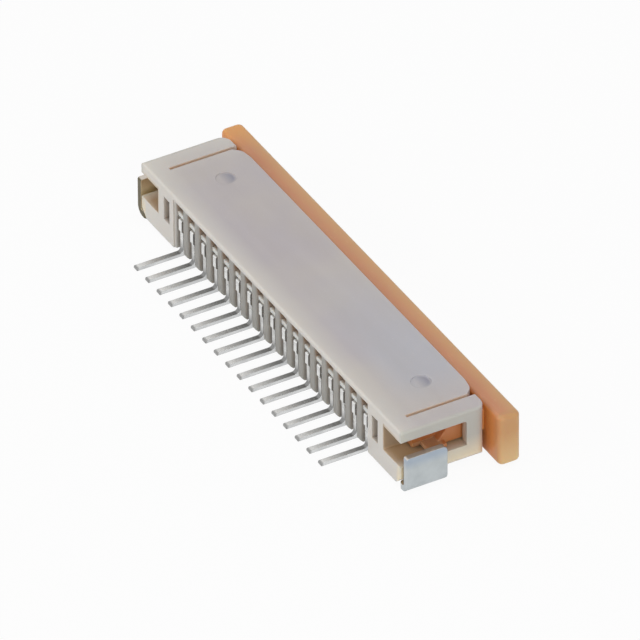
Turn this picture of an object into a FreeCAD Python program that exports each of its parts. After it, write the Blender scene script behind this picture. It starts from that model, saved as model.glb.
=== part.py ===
import FreeCAD, Part
import Sketcher
import math
import os
from FreeCAD import Vector

# Right angle flat cable connector, 1.00 mm pitch, with a slide lock.
# X runs along the row of terminals, Y from the solder tails towards the cable mouth, Z up from the board.
# The origin is on the board, below the middle terminal, in the plane of the housing's rear face.
# All sizes are millimetres.

SIZES = [
    ("positions", 17, "terminals in the row"),
    ("pitch", 1.00, "from one terminal to the next"),
    ("roof_depth", 4.25, "rear face to the front edge of the roof"),
    ("rail_set_back", 0.10, "front edge of the roof to the front of the end rails"),
    ("standoff", 0.17, "board to the underside of the housing"),
    ("housing_top", 2.90, "board to the top of the housing"),
    ("roof_thickness", 0.50, "roof over the mouth and the end channels"),
    ("mouth_floor", 1.30, "board to the floor that the cable slides on"),
    ("mouth_play", 0.20, "side play between the cable and the mouth"),
    ("back_wall", 0.90, "solid rear wall that holds the terminals"),
    ("roof_corner_length", 0.90, "cut corner of the roof, along X"),
    ("roof_corner_depth", 0.42, "cut corner of the roof, along Y"),
    ("roof_corner_radius", 0.45, "rounding of the cut corner"),
    ("comb_slot_width", 0.60, "slot in the rear face around one terminal"),
    ("comb_slot_depth", 0.35, "depth of that slot"),
    ("rib_set_back", 0.06, "rear face to the ribs between the slots"),
    ("rib_foot", 0.12, "chamfer at the foot of a rib"),
    ("rib_rounding", 0.10, "rounding of a rib's upright rear edges"),
    ("lintel_set_back", 0.11, "rear face to the bar across the slot"),
    ("lintel_low", 1.91, "board to the underside of that bar"),
    ("lintel_high", 2.11, "board to the top of that bar"),
    ("slot_top", 2.68, "board to the top of the slot"),
    ("slot_roof_rise", 0.18, "fall of the slot's ceiling towards its back"),
    ("terminal_fit", 0.01, "gap each side of a terminal in its channel"),
    ("groove_width", 0.37, "groove in the mouth floor around a contact beam"),
    ("groove_floor", 0.45, "board to the bottom of that groove"),
    ("groove_lip", 0.32, "floor left in front of the groove"),
    ("blind_slot_width", 0.50, "blind slot beside the row, at each end"),
    ("blind_slot_low", 1.15, "board to the foot of the blind slot"),
    ("blind_slot_high", 2.33, "board to the head of the blind slot"),
    ("blind_slot_depth", 0.50, "depth of the blind slot"),
    ("channel_wall", 0.55, "wall between the mouth and the end channel"),
    ("channel_width", 1.05, "end channel, along X"),
    ("channel_floor", 1.15, "board to the floor of the end channel"),
    ("post_depth", 0.95, "post at the front of the end channel, along Y"),
    ("post_thickness", 0.40, "the same post, along X"),
    ("window_radius", 0.15, "upper front corner of the side window"),
    ("rail_radius", 0.50, "front outer corner of the end rail, seen from above"),
    ("slit_width", 0.18, "slit between the roof and the end rail"),
    ("slit_inset", 1.00, "end of the housing to the middle of the slit"),
    ("slit_start", 0.82, "rear face to the start of the slit"),
    ("foot_chamfer", 0.40, "chamfer along the lower outer edge"),
    ("gate_mark_radius", 0.45, "round mark on the roof"),
    ("gate_mark_depth", 0.03, "depth of that mark"),
    ("gate_mark_inset", 2.80, "end of the housing to the mark"),
    ("gate_mark_place", 2.58, "rear face to the mark"),
    ("edge_radius", 0.10, "rounding of the outer upper edges"),
    ("mouth_lead_in", 0.15, "chamfer at the front of the mouth floor"),
    ("terminal_thickness", 0.25, "strip that the terminals are stamped from"),
    ("tail_reach", 2.10, "rear face to the tip of a solder tail"),
    ("tail_height", 0.16, "height of a solder tail"),
    ("tail_root", 0.35, "rear face to the end of the flat sole"),
    ("leg_back", 0.10, "rear face to the upper rear edge of the leg"),
    ("leg_step", 0.07, "step back of the lower rear edge"),
    ("leg_step_height", 1.25, "board to that step"),
    ("leg_top", 1.82, "board to the top of the leg"),
    ("leg_front", 0.75, "rear face to the front edge of the leg"),
    ("leg_rise", 0.27, "board to the underside of the leg inside the housing"),
    ("root_radius", 0.18, "rounding between tail and leg"),
    ("beam_low", 0.58, "board to the underside of the contact beam at its root"),
    ("beam_high", 0.98, "board to its upper edge at its root"),
    ("contact_place", 3.05, "rear face to the contact point"),
    ("contact_height", 1.50, "board to the contact point"),
    ("contact_radius", 0.20, "rounding of the contact point"),
    ("beam_tip", 3.55, "rear face to the tip of the contact beam"),
    ("beam_tip_height", 1.02, "board to the tip of the beam"),
    ("beam_thickness", 0.24, "beam behind the contact point"),
    ("slider_gap", 0.05, "roof to the slider's bar when it is closed"),
    ("bar_overhang", 0.84, "bar beyond each end of the housing"),
    ("bar_thickness", 1.04, "slider's bar along Y"),
    ("bar_low", 0.11, "board to the underside of the bar"),
    ("bar_high", 2.64, "board to the top of the bar"),
    ("bar_corner", 0.26, "rounding of the bar's upright edges"),
    ("bar_edge", 0.20, "rounding of the bar's upper and lower edges"),
    ("cable_play", 0.10, "side play between the cable and its slot"),
    ("cable_slot_low", 1.33, "board to the foot of the cable slot"),
    ("cable_slot_high", 1.80, "board to the head of the cable slot"),
    ("slot_funnel", 0.20, "lead-in around the mouth of the cable slot"),
    ("tongue_reach", 2.70, "bar to the tip of the wedge tongue"),
    ("tongue_high", 2.32, "board to the top of the tongue"),
    ("tongue_tip", 0.22, "thickness of the tongue at its tip"),
    ("tongue_slope", 0.60, "length of the wedge at the tip"),
    ("slide_clearance", 0.10, "gap around an arm in its channel"),
    ("arm_rear", 1.05, "rear face to the end of the arm"),
    ("slide_travel", 0.85, "closed to open, where the stop meets the post"),
    ("stop_length", 0.90, "stop at the foot of the arm, along Y"),
    ("stop_height", 0.18, "height of the stop"),
    ("stop_catch", 0.18, "overlap of the stop with the post, along X"),
    ("shoulder_depth", 0.37, "outer part of the arm, along X"),
    ("shoulder_start", 1.92, "rear face to the foot of the shoulder's slant"),
    ("shoulder_slant", 0.87, "length of that slant along Y"),
    ("shoulder_edge", 0.06, "rounding of the slant's outer edge"),
    ("arm_lead_in", 0.35, "slanted tip of the arm"),
    ("nail_thickness", 0.28, "strip that the fitting nails are folded from"),
    ("nail_gap", 0.17, "housing end to the nail's plate"),
    ("nail_rear", 0.05, "rear face to the rear edge of the plate"),
    ("nail_front", 2.00, "rear face to the front edge of the plate"),
    ("nail_top", 1.84, "board to the top of the plate"),
    ("nail_bend", 0.15, "inner radius of the folds"),
    ("nail_rear_corner", 0.10, "upper rear corner of the plate"),
    ("nail_corner", 0.22, "other corners of the plate"),
    ("spur_inset", 0.92, "end of the housing to the inner side of the spur"),
    ("spur_rear", 0.55, "rear face to the spur"),
    ("spur_width", 0.80, "width of the spur along Y"),
    ("spur_top", 0.92, "board to the tip of the spur"),
    ("spur_fit", 0.02, "gap around the spur in its slot"),
]


class Size:
    """A size of the sheet, or a sum of sizes, as a number and as the formula that gives it."""

    def __init__(self, number, formula):
        self.number = number
        self.formula = formula

    def __add__(self, other):
        other = size(other)
        return Size(self.number + other.number, "(%s + %s)" % (self.formula, other.formula))

    def __sub__(self, other):
        other = size(other)
        return Size(self.number - other.number, "(%s - %s)" % (self.formula, other.formula))

    def __mul__(self, factor):
        factor = size(factor)
        return Size(self.number * factor.number, "(%s * %s)" % (self.formula, factor.formula))

    def __truediv__(self, factor):
        return Size(self.number / factor, "(%s / %s)" % (self.formula, factor))

    def __neg__(self):
        return Size(-self.number, "(0 - %s)" % self.formula)


def size(given):
    """A plain number becomes a size too."""
    return given if isinstance(given, Size) else Size(float(given), repr(float(given)))


class Sheet:
    """The driving sizes, by their names."""

    def __init__(self, doc):
        cells = doc.addObject("Spreadsheet::Sheet", "Sizes")
        for row, (alias, number, note) in enumerate(SIZES, start=1):
            cells.set("A%d" % row, alias)
            cells.set("B%d" % row, str(number))
            cells.set("C%d" % row, note)
            cells.setAlias("B%d" % row, alias)
            setattr(self, alias, Size(float(number), "Sizes.%s" % alias))


def bind(thing, name, given):
    """Set a property to a size and keep it tied to the sheet."""
    thing.setExpression(name, size(given).formula)


class Piece:
    """One real piece: a body with its sketches and features."""

    def __init__(self, doc, node, side=1):
        self.doc = doc
        self.body = doc.addObject("PartDesign::Body", node)
        self.body.Label = node
        self.side = side

    def origin(self, role):
        return [item for item in self.body.Origin.OriginFeatures if item.Role == role][0]

    def sketch(self, name, plane, offset=0):
        """A sketch on a plane of the body's origin, moved along the plane's normal."""
        drawing = self.body.newObject("Sketcher::SketchObject", name)
        drawing.AttachmentSupport = [(self.origin(plane + "_Plane"), "")]
        drawing.MapMode = "FlatFace"
        along = -size(offset) if plane == "XZ" else size(offset)
        drawing.AttachmentOffset = FreeCAD.Placement(Vector(0, 0, along.number), FreeCAD.Rotation())
        bind(drawing, "AttachmentOffset.Base.z", along)
        return drawing

    def feature(self, kind, name, drawing, length, reversed_side=False, both_sides=False):
        """A pad or a pocket of a sketch."""
        made = self.body.newObject("PartDesign::" + kind, name)
        made.Profile = drawing
        made.SideType = "Symmetric" if both_sides else "One side"
        made.Reversed = reversed_side
        made.Length = size(length).number
        bind(made, "Length", length)
        return made

    def mirror(self, name, features):
        """The same features on the other side of the middle plane."""
        made = self.body.newObject("PartDesign::Mirrored", name)
        made.Originals = features
        made.MirrorPlane = (self.origin("YZ_Plane"), [""])
        self.body.Tip = made
        return made

    def row(self, name, features, sheet):
        """The same features at every position of the row."""
        made = self.body.newObject("PartDesign::LinearPattern", name)
        made.Originals = features
        made.Direction = (self.origin("X_Axis"), [""])
        made.Mode = "Spacing"
        bind(made, "Offset", sheet.pitch)
        bind(made, "Occurrences", sheet.positions)
        self.body.Tip = made
        return made

    def round_edges(self, name, radius, wanted):
        """Fillet the edges of the tip that the test picks out."""
        self.doc.recompute()
        base = self.body.Tip
        names = ["Edge%d" % (n + 1) for n, edge in enumerate(base.Shape.Edges) if wanted(edge)]
        made = self.body.newObject("PartDesign::Fillet", name)
        made.Base = (base, names)
        bind(made, "Radius", radius)
        self.body.Tip = made
        return made

    def chamfer_edges(self, name, width, wanted):
        """Chamfer the edges of the tip that the test picks out."""
        self.doc.recompute()
        base = self.body.Tip
        names = ["Edge%d" % (n + 1) for n, edge in enumerate(base.Shape.Edges) if wanted(edge)]
        made = self.body.newObject("PartDesign::Chamfer", name)
        made.Base = (base, names)
        bind(made, "Size", width)
        self.body.Tip = made
        return made


def pin_point(drawing, geometry, end, across, up):
    """Hold one point of a sketch at two sizes."""
    for kind, given in (("DistanceX", across), ("DistanceY", up)):
        held = drawing.addConstraint(Sketcher.Constraint(kind, -1, 1, geometry, end, given.number))
        drawing.setExpression("Constraints[%d]" % held, given.formula)


def outline(drawing, corners):
    """A closed outline with its corners held by sizes; a corner with a third size is rounded by it."""
    corners = [(size(c[0]), size(c[1]), size(c[2]) if len(c) > 2 else None) for c in corners]
    spots = [Vector(across.number, up.number, 0) for across, up, radius in corners]
    count = len(corners)
    starts, ends, arcs = [], [], []
    for n, (across, up, radius) in enumerate(corners):
        here, before, after = spots[n], spots[n - 1], spots[(n + 1) % count]
        if radius is None:
            ends.append(here)
            starts.append(here)
            arcs.append(None)
            continue
        back = (before - here).normalize()
        ahead = (after - here).normalize()
        half = back.getAngle(ahead) / 2
        reach = radius.number / math.tan(half)
        middle = here + (back + ahead).normalize() * (radius.number / math.sin(half))
        first, last = here + back * reach, here + ahead * reach
        inner = middle + (here - middle).normalize() * radius.number
        ends.append(first)
        starts.append(last)
        arcs.append(Part.Arc(first, inner, last))
    lines = []
    for n in range(count):
        edge = Part.LineSegment(starts[n], ends[(n + 1) % count])
        lines.append(drawing.addGeometry(edge, False))
    for n, (across, up, radius) in enumerate(corners):
        incoming, outgoing = lines[n - 1], lines[n]
        if radius is None:
            drawing.addConstraint(Sketcher.Constraint("Coincident", incoming, 2, outgoing, 1))
            pin_point(drawing, outgoing, 1, across, up)
            continue
        arc = drawing.addGeometry(arcs[n], False)
        turn = (spots[n] - spots[n - 1]).cross(spots[(n + 1) % count] - spots[n]).z
        enter, leave = (1, 2) if turn > 0 else (2, 1)
        drawing.addConstraint(Sketcher.Constraint("Tangent", incoming, 2, arc, enter))
        drawing.addConstraint(Sketcher.Constraint("Tangent", outgoing, 1, arc, leave))
        held = drawing.addConstraint(Sketcher.Constraint("Radius", arc, radius.number))
        drawing.setExpression("Constraints[%d]" % held, radius.formula)
        corner = drawing.addGeometry(Part.Point(spots[n]), True)
        pin_point(drawing, corner, 1, across, up)
        drawing.addConstraint(Sketcher.Constraint("PointOnObject", corner, 1, incoming))
        drawing.addConstraint(Sketcher.Constraint("PointOnObject", corner, 1, outgoing))


def rectangle(drawing, low_across, low_up, high_across, high_up):
    outline(drawing, [(low_across, low_up), (high_across, low_up), (high_across, high_up), (low_across, high_up)])


def circle(drawing, across, up, radius):
    ring = Part.Circle(Vector(size(across).number, size(up).number, 0), Vector(0, 0, 1), radius.number)
    drawn = drawing.addGeometry(ring, False)
    pin_point(drawing, drawn, 3, size(across), size(up))
    held = drawing.addConstraint(Sketcher.Constraint("Radius", drawn, radius.number))
    drawing.setExpression("Constraints[%d]" % held, radius.formula)


def layout(s):
    """Places that more than one piece is built from."""
    s.half_row = s.pitch * (s.positions - 1) / 2
    s.cable_width = s.pitch * (s.positions + 1)
    s.rail_depth = s.roof_depth - s.rail_set_back
    s.roof_under = s.housing_top - s.roof_thickness
    s.mouth_half = s.cable_width / 2 + s.mouth_play
    s.channel_inner = s.mouth_half + s.channel_wall
    s.post_inner = s.channel_inner + s.channel_width
    s.end = s.post_inner + s.post_thickness
    s.bar_half = s.end + s.bar_overhang
    s.post_rear = s.rail_depth - s.post_depth
    s.slit_middle = s.end - s.slit_inset
    s.bar_rear = s.roof_depth + s.slider_gap
    s.bar_front = s.bar_rear + s.bar_thickness
    s.plate_inner = s.end + s.nail_gap
    s.plate_outer = s.plate_inner + s.nail_thickness
    s.spur_inner = s.end - s.spur_inset
    s.spur_outer = s.spur_inner + s.nail_thickness
    s.spur_front = s.spur_rear + s.spur_width


BEYOND = 0.5


def housing(doc, s):
    """The moulded body: roof, mouth, comb of slots at the rear and a channel at each end."""
    piece = Piece(doc, "housing")

    plan = piece.sketch("BlockPlan", "XY", s.standoff)
    outline(plan, [
        (-s.end, 0), (s.end, 0),
        (s.end, s.rail_depth, s.rail_radius),
        (-s.end, s.rail_depth, s.rail_radius),
    ])
    piece.feature("Pad", "Block", plan, s.housing_top - s.standoff)

    lip = piece.sketch("RoofLipPlan", "XY", s.housing_top)
    slit_side = s.slit_middle - s.slit_width / 2
    rectangle(lip, -slit_side, s.back_wall, slit_side, s.roof_depth)
    piece.feature("Pad", "RoofLip", lip, s.roof_thickness, reversed_side=True)

    mouth = piece.sketch("MouthFront", "XZ", s.roof_depth + BEYOND)
    rectangle(mouth, -s.mouth_half, s.mouth_floor, s.mouth_half, s.roof_under)
    piece.feature("Pocket", "Mouth", mouth, s.roof_depth + BEYOND - s.back_wall, reversed_side=True)

    channel = piece.sketch("ChannelFront", "XZ", s.roof_depth + BEYOND)
    rectangle(channel, s.channel_inner, s.channel_floor, s.post_inner, s.roof_under)
    bore = piece.feature("Pocket", "Channel", channel, s.roof_depth + BEYOND * 2, reversed_side=True)

    window = piece.sketch("WindowSide", "YZ", s.post_inner)
    outline(window, [
        (-BEYOND, s.channel_floor), (s.post_rear, s.channel_floor),
        (s.post_rear, s.roof_under, s.window_radius), (-BEYOND, s.roof_under),
    ])
    opening = piece.feature("Pocket", "SideWindow", window, s.post_thickness + BEYOND, reversed_side=True)

    slit = piece.sketch("SlitPlan", "XY", s.housing_top)
    rectangle(slit, slit_side, s.slit_start, slit_side + s.slit_width, s.roof_depth + BEYOND)
    gap = piece.feature("Pocket", "Slit", slit, s.roof_thickness)

    corner = piece.sketch("RoofCornerPlan", "XY", s.housing_top)
    outline(corner, [
        (slit_side - s.roof_corner_length, s.roof_depth, s.roof_corner_radius),
        (slit_side - s.roof_corner_length / 3, s.roof_depth - s.roof_corner_depth / 4, s.roof_corner_radius),
        (slit_side, s.roof_depth - s.roof_corner_depth),
        (slit_side + s.slit_width, s.roof_depth - s.roof_corner_depth),
        (slit_side + s.slit_width, s.roof_depth + BEYOND),
        (slit_side - s.roof_corner_length * 2, s.roof_depth + BEYOND),
        (slit_side - s.roof_corner_length * 2, s.roof_depth),
    ])
    cut = piece.feature("Pocket", "RoofCorner", corner, s.roof_thickness)

    blind = piece.sketch("BlindSlotRear", "XZ", 0)
    middle = s.half_row + s.pitch
    rectangle(blind, middle - s.blind_slot_width / 2, s.blind_slot_low,
              middle + s.blind_slot_width / 2, s.blind_slot_high)
    hollow = piece.feature("Pocket", "BlindSlot", blind, s.blind_slot_depth)

    chamfer = piece.sketch("FootChamferRear", "XZ", -BEYOND)
    outline(chamfer, [
        (s.end - s.foot_chamfer - BEYOND, s.standoff - BEYOND),
        (s.end + BEYOND, s.standoff - BEYOND),
        (s.end + BEYOND, s.standoff + s.foot_chamfer + BEYOND),
    ])
    foot = piece.feature("Pocket", "FootChamfer", chamfer, s.rail_depth + BEYOND * 2)

    spur = piece.sketch("SpurSlotPlan", "XY", s.standoff - BEYOND)
    rectangle(spur, s.spur_inner - s.spur_fit, s.spur_rear - s.spur_fit,
              s.spur_outer + s.spur_fit, s.spur_front + s.spur_fit)
    well = piece.feature("Pocket", "SpurSlot", spur, s.spur_top + s.spur_fit - s.standoff + BEYOND,
                         reversed_side=True)

    relief = piece.sketch("NailReliefPlan", "XY", s.standoff - BEYOND)
    rectangle(relief, s.spur_inner - s.spur_fit, s.spur_rear - s.spur_fit,
              s.end, s.spur_front + s.spur_fit)
    under = piece.feature("Pocket", "NailRelief", relief,
                          s.nail_thickness + s.spur_fit - s.standoff + BEYOND, reversed_side=True)

    mark = piece.sketch("GateMarkPlan", "XY", s.housing_top)
    circle(mark, s.end - s.gate_mark_inset, s.gate_mark_place, s.gate_mark_radius)
    dimple = piece.feature("Pocket", "GateMark", mark, s.gate_mark_depth)

    piece.mirror("OtherEnd", [bore, opening, gap, cut, hollow, foot, well, under, dimple])

    ribs = piece.sketch("RibSide", "YZ", 0)
    outline(ribs, [
        (-BEYOND, s.standoff - BEYOND),
        (s.rib_set_back + s.rib_foot, s.standoff - BEYOND),
        (s.rib_set_back + s.rib_foot, s.standoff),
        (s.rib_set_back, s.standoff + s.rib_foot),
        (s.rib_set_back, s.slot_top),
        (-BEYOND, s.slot_top),
    ])
    comb_width = s.half_row + s.half_row + s.comb_slot_width
    piece.feature("Pocket", "RibFaces", ribs, comb_width, both_sides=True)

    comb = piece.sketch("CombSlotSide", "YZ", -s.half_row)
    outline(comb, [
        (-BEYOND, s.standoff - BEYOND),
        (s.comb_slot_depth, s.standoff - BEYOND),
        (s.comb_slot_depth, s.lintel_low),
        (s.lintel_set_back, s.lintel_low),
        (s.lintel_set_back, s.lintel_high),
        (s.comb_slot_depth, s.lintel_high),
        (s.comb_slot_depth, s.slot_top - s.slot_roof_rise),
        (0, s.slot_top),
        (-BEYOND, s.slot_top),
    ])
    slot = piece.feature("Pocket", "CombSlot", comb, s.comb_slot_width, both_sides=True)

    flare = piece.sketch("RibRoundingPlan", "XY", s.slot_top)
    left = -s.half_row - s.comb_slot_width / 2
    right = left + s.comb_slot_width
    past_rounding = s.rib_rounding * 1.1
    outline(flare, [
        (left - past_rounding, -BEYOND),
        (left - past_rounding, s.rib_set_back),
        (left, s.rib_set_back, s.rib_rounding),
        (left, s.rib_set_back + past_rounding),
        (right, s.rib_set_back + past_rounding),
        (right, s.rib_set_back, s.rib_rounding),
        (right + past_rounding, s.rib_set_back),
        (right + past_rounding, -BEYOND),
    ])
    rounding = piece.feature("Pocket", "RibRounding", flare, s.slot_top - s.standoff + BEYOND)

    holder = piece.sketch("TerminalChannelSide", "YZ", -s.half_row)
    rectangle(holder, s.comb_slot_depth / 2, s.standoff - BEYOND, s.back_wall + BEYOND / 5,
              s.leg_top + s.terminal_fit)
    channel_cut = piece.feature("Pocket", "TerminalChannel", holder,
                                s.terminal_thickness + s.terminal_fit * 2, both_sides=True)

    groove = piece.sketch("GrooveSide", "YZ", -s.half_row)
    rectangle(groove, s.back_wall, s.groove_floor, s.rail_depth - s.groove_lip, s.mouth_floor + BEYOND)
    groove_cut = piece.feature("Pocket", "Groove", groove, s.groove_width, both_sides=True)

    piece.row("Comb", [slot, rounding, channel_cut, groove_cut], s)

    def upper_edge(edge):
        box = edge.BoundBox
        flat = box.ZLength < 1e-6 and abs(box.ZMax - s.housing_top.number) < 1e-6
        at_end = min(abs(box.XMin), abs(box.XMax)) > s.post_inner.number
        return flat and (at_end or abs(box.YMax) < 1e-6)

    def mouth_front(edge):
        box = edge.BoundBox
        flat = box.ZLength < 1e-6 and abs(box.ZMax - s.mouth_floor.number) < 1e-6
        at_front = box.YLength < 1e-6 and abs(box.YMax - s.rail_depth.number) < 1e-6
        return flat and at_front and box.XLength > s.cable_width.number

    piece.round_edges("UpperEdges", s.edge_radius, upper_edge)
    piece.chamfer_edges("MouthLeadIn", s.mouth_lead_in, mouth_front)
    return piece


def slider(doc, s):
    """The lock: a bar with the cable slot, a wedge tongue and two arms that run in the channels."""
    piece = Piece(doc, "slider")

    front = piece.sketch("BarFront", "XZ", s.bar_front)
    rectangle(front, -s.bar_half, s.bar_low, s.bar_half, s.bar_high)
    piece.feature("Pad", "Bar", front, s.bar_thickness)

    def upright_edge(edge):
        box = edge.BoundBox
        return box.XLength < 1e-6 and box.YLength < 1e-6

    def rim_edge(edge):
        return edge.BoundBox.ZLength < 1e-6

    piece.round_edges("BarCorners", s.bar_corner, upright_edge)
    piece.round_edges("BarRims", s.bar_edge, rim_edge)

    wedge = piece.sketch("TongueSide", "YZ", 0)
    tip = s.bar_rear - s.tongue_reach
    outline(wedge, [
        (tip, s.tongue_high - s.tongue_tip), (tip + s.tongue_slope, s.cable_slot_high),
        (s.bar_rear + s.bar_thickness / 2, s.cable_slot_high),
        (s.bar_rear + s.bar_thickness / 2, s.tongue_high), (tip, s.tongue_high),
    ])
    slot_width = s.cable_width + s.cable_play * 2
    piece.feature("Pad", "Tongue", wedge, slot_width, both_sides=True)

    slot = piece.sketch("CableSlotFront", "XZ", s.bar_front + BEYOND)
    rectangle(slot, -slot_width / 2, s.cable_slot_low, slot_width / 2, s.cable_slot_high)
    piece.feature("Pocket", "CableSlot", slot, s.bar_thickness + BEYOND * 2, reversed_side=True)

    def mouth_edge(edge):
        box = edge.BoundBox
        at_front = abs(box.YMin - s.bar_front.number) < 1e-6 and box.YLength < 1e-6
        inside = box.ZMin > s.cable_slot_low.number - 1e-6 and box.ZMax < s.cable_slot_high.number + 1e-6
        return at_front and inside and max(abs(box.XMin), abs(box.XMax)) < slot_width.number / 2 + 1e-6

    piece.chamfer_edges("SlotFunnel", s.slot_funnel, mouth_edge)

    arm_low = s.channel_floor + s.slide_clearance
    arm_high = s.roof_under - s.slide_clearance
    arm_inner = s.channel_inner + s.slide_clearance
    arm_outer = s.post_inner - s.slide_clearance
    arm = piece.sketch("ArmSide", "YZ", arm_inner)
    outline(arm, [
        (s.arm_rear, arm_low), (s.bar_rear + s.bar_thickness / 2, arm_low),
        (s.bar_rear + s.bar_thickness / 2, arm_high),
        (s.arm_rear + s.arm_lead_in, arm_high), (s.arm_rear, arm_high - s.arm_lead_in),
    ])
    core_outer = arm_outer - s.shoulder_depth
    beam = piece.feature("Pad", "Arm", arm, core_outer - arm_inner)

    shoulder = piece.sketch("ShoulderSide", "YZ", core_outer)
    outline(shoulder, [
        (s.shoulder_start, arm_low), (s.bar_rear + s.bar_thickness / 2, arm_low),
        (s.bar_rear + s.bar_thickness / 2, arm_high), (s.shoulder_start + s.shoulder_slant, arm_high),
    ])
    outer_part = piece.feature("Pad", "Shoulder", shoulder, s.shoulder_depth)

    stop_front = s.post_rear - s.slide_travel
    stop = piece.sketch("StopSide", "YZ", core_outer)
    rectangle(stop, stop_front - s.stop_length, arm_low, stop_front, arm_low + s.stop_height)
    lug = piece.feature("Pad", "Stop", stop, s.post_inner + s.stop_catch - core_outer)

    piece.mirror("OtherArm", [beam, outer_part, lug])

    def slant_edge(edge):
        box = edge.BoundBox
        outer = box.XLength < 1e-6 and abs(abs(box.XMax) - arm_outer.number) < 1e-6
        at_top = abs(box.ZMax - arm_high.number) < 1e-6 and box.ZLength > 1e-6
        return outer and at_top and abs(box.YMax - s.shoulder_start.number - s.shoulder_slant.number) < 1e-6

    piece.round_edges("ShoulderEdges", s.shoulder_edge, slant_edge)
    return piece


def terminal(doc, s, number):
    """One stamped terminal: solder tail, leg and sprung contact beam, flat in the YZ plane."""
    piece = Piece(doc, "terminal_%02d" % number)
    side = piece.sketch("Blank_%02d" % number, "YZ", 0)
    leg_low_back = s.leg_back + s.leg_step
    outline(side, [
        (-s.tail_reach, 0, s.tail_height / 3),
        (s.tail_root, 0),
        (s.tail_root + s.leg_rise / 2, s.leg_rise),
        (s.leg_front, s.leg_rise),
        (s.leg_front, s.beam_low),
        (s.contact_place - s.contact_radius, s.contact_height - s.beam_thickness * 2, s.contact_radius),
        (s.beam_tip, s.beam_tip_height),
        (s.beam_tip, s.beam_tip_height + s.beam_thickness / 2, s.beam_thickness / 4),
        (s.contact_place, s.contact_height, s.contact_radius),
        (s.leg_front, s.beam_high, s.contact_radius),
        (s.leg_front, s.leg_top, s.beam_thickness / 4),
        (s.leg_back, s.leg_top, s.beam_thickness / 4),
        (s.leg_back, s.leg_step_height),
        (leg_low_back, s.leg_step_height - s.leg_step),
        (leg_low_back, s.tail_height, s.root_radius),
        (-s.tail_reach, s.tail_height, s.tail_height / 3),
    ])
    piece.feature("Pad", "Strip_%02d" % number, side, s.terminal_thickness, both_sides=True)
    bind(piece.body, "Placement.Base.x", s.pitch * (number - 1) - s.half_row)
    return piece


def fitting_nail(doc, s, node, side):
    """A folded fitting nail: plate outside the housing, foot on the board, spur pressed in from below."""
    piece = Piece(doc, node)

    def across(place):
        return place if side > 0 else -place

    fold = s.nail_bend + s.nail_thickness
    front = piece.sketch("Fold_" + node, "XZ", s.nail_rear)
    outline(front, [
        (across(s.plate_outer), 0, fold),
        (across(s.plate_outer), s.nail_top),
        (across(s.plate_inner), s.nail_top),
        (across(s.plate_inner), s.nail_thickness, s.nail_bend),
        (across(s.spur_outer), s.nail_thickness, s.nail_bend / 2),
        (across(s.spur_outer), s.spur_top),
        (across(s.spur_inner), s.spur_top),
        (across(s.spur_inner), 0, s.nail_bend / 2 + s.nail_thickness),
    ])
    piece.feature("Pad", "Strip_" + node, front, s.nail_front - s.nail_rear, reversed_side=True)

    trim = piece.sketch("FootTrim_" + node, "XY", -BEYOND)
    foot_end = s.plate_inner - s.nail_bend - s.nail_thickness
    rectangle(trim, across(s.spur_inner - BEYOND), s.nail_rear - BEYOND, across(foot_end), s.spur_rear)
    piece.feature("Pocket", "RearTrim_" + node, trim, s.nail_top, reversed_side=True)

    trim = piece.sketch("FrontTrimPlan_" + node, "XY", -BEYOND)
    rectangle(trim, across(s.spur_inner - BEYOND), s.spur_front, across(foot_end), s.nail_front + BEYOND)
    piece.feature("Pocket", "FrontTrim_" + node, trim, s.nail_top, reversed_side=True)

    def across_plate(edge, place):
        box = edge.BoundBox
        upper = box.ZLength < 1e-6 and abs(box.ZMax - s.nail_top.number) < 1e-6
        return upper and box.YLength < 1e-6 and abs(box.YMin - place.number) < 1e-6

    def sole_corner(edge):
        box = edge.BoundBox
        at_side = abs(abs(box.XMin) - foot_end.number) < 1e-6 and box.XLength < 1e-6
        at_end = min(abs(box.YMin - s.nail_rear.number), abs(box.YMin - s.nail_front.number)) < 1e-6
        return box.YLength < 1e-6 and at_side and at_end and box.ZMin < 1e-6

    piece.round_edges("RearCorner_" + node, s.nail_rear_corner, lambda edge: across_plate(edge, s.nail_rear))
    piece.round_edges("FrontCorner_" + node, s.nail_corner, lambda edge: across_plate(edge, s.nail_front))
    piece.round_edges("SoleCorners_" + node, s.nail_corner, sole_corner)
    return piece


def faults(doc):
    """Every object that failed, every pocket that cut nothing and every body that is no sound solid."""
    found = []
    for item in doc.Objects:
        if "Invalid" in item.State or "Error" in item.State:
            found.append("%s: %s" % (item.Name, item.State))
            continue
        if item.TypeId == "PartDesign::Pocket":
            before = item.BaseFeature.Shape
            if before.isNull() or before.Volume - item.Shape.Volume < 1e-6:
                found.append("%s cuts nothing" % item.Name)
        if item.TypeId == "PartDesign::Body":
            shape = item.Shape
            if shape.isNull() or not shape.isValid() or len(shape.Solids) != 1:
                found.append("%s is not one valid solid" % item.Label)
    return found


def build():
    doc = FreeCAD.newDocument("flat_cable_connector")
    s = Sheet(doc)
    layout(s)
    pieces = [housing(doc, s), slider(doc, s)]
    pieces += [terminal(doc, s, n + 1) for n in range(int(s.positions.number))]
    pieces.append(fitting_nail(doc, s, "fitting_nail_left", -1))
    pieces.append(fitting_nail(doc, s, "fitting_nail_right", 1))
    doc.recompute()
    found = faults(doc)
    if found:
        raise RuntimeError("; ".join(found))
    os.makedirs("parts", exist_ok=True)
    for piece in pieces:
        piece.body.Shape.exportStep("parts/%s.step" % piece.body.Label)
        print(piece.body.Label, round(piece.body.Shape.Volume, 4))


build()
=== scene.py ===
# %% [markdown]
# # A flat cable connector, finished in Blender
#
# This lesson dresses a small circuit board connector: a pale moulded housing, an amber
# slide lock, a comb of tin plated terminals and two fitting nails. The shapes come from
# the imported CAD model, and the lesson gives them their finish, the light and the camera.
# The real thing is 24 mm long, so every number for a pattern is in metres and small:
# a noise scale of 4000 means grains a quarter of a millimetre wide.

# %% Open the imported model
import math

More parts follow.
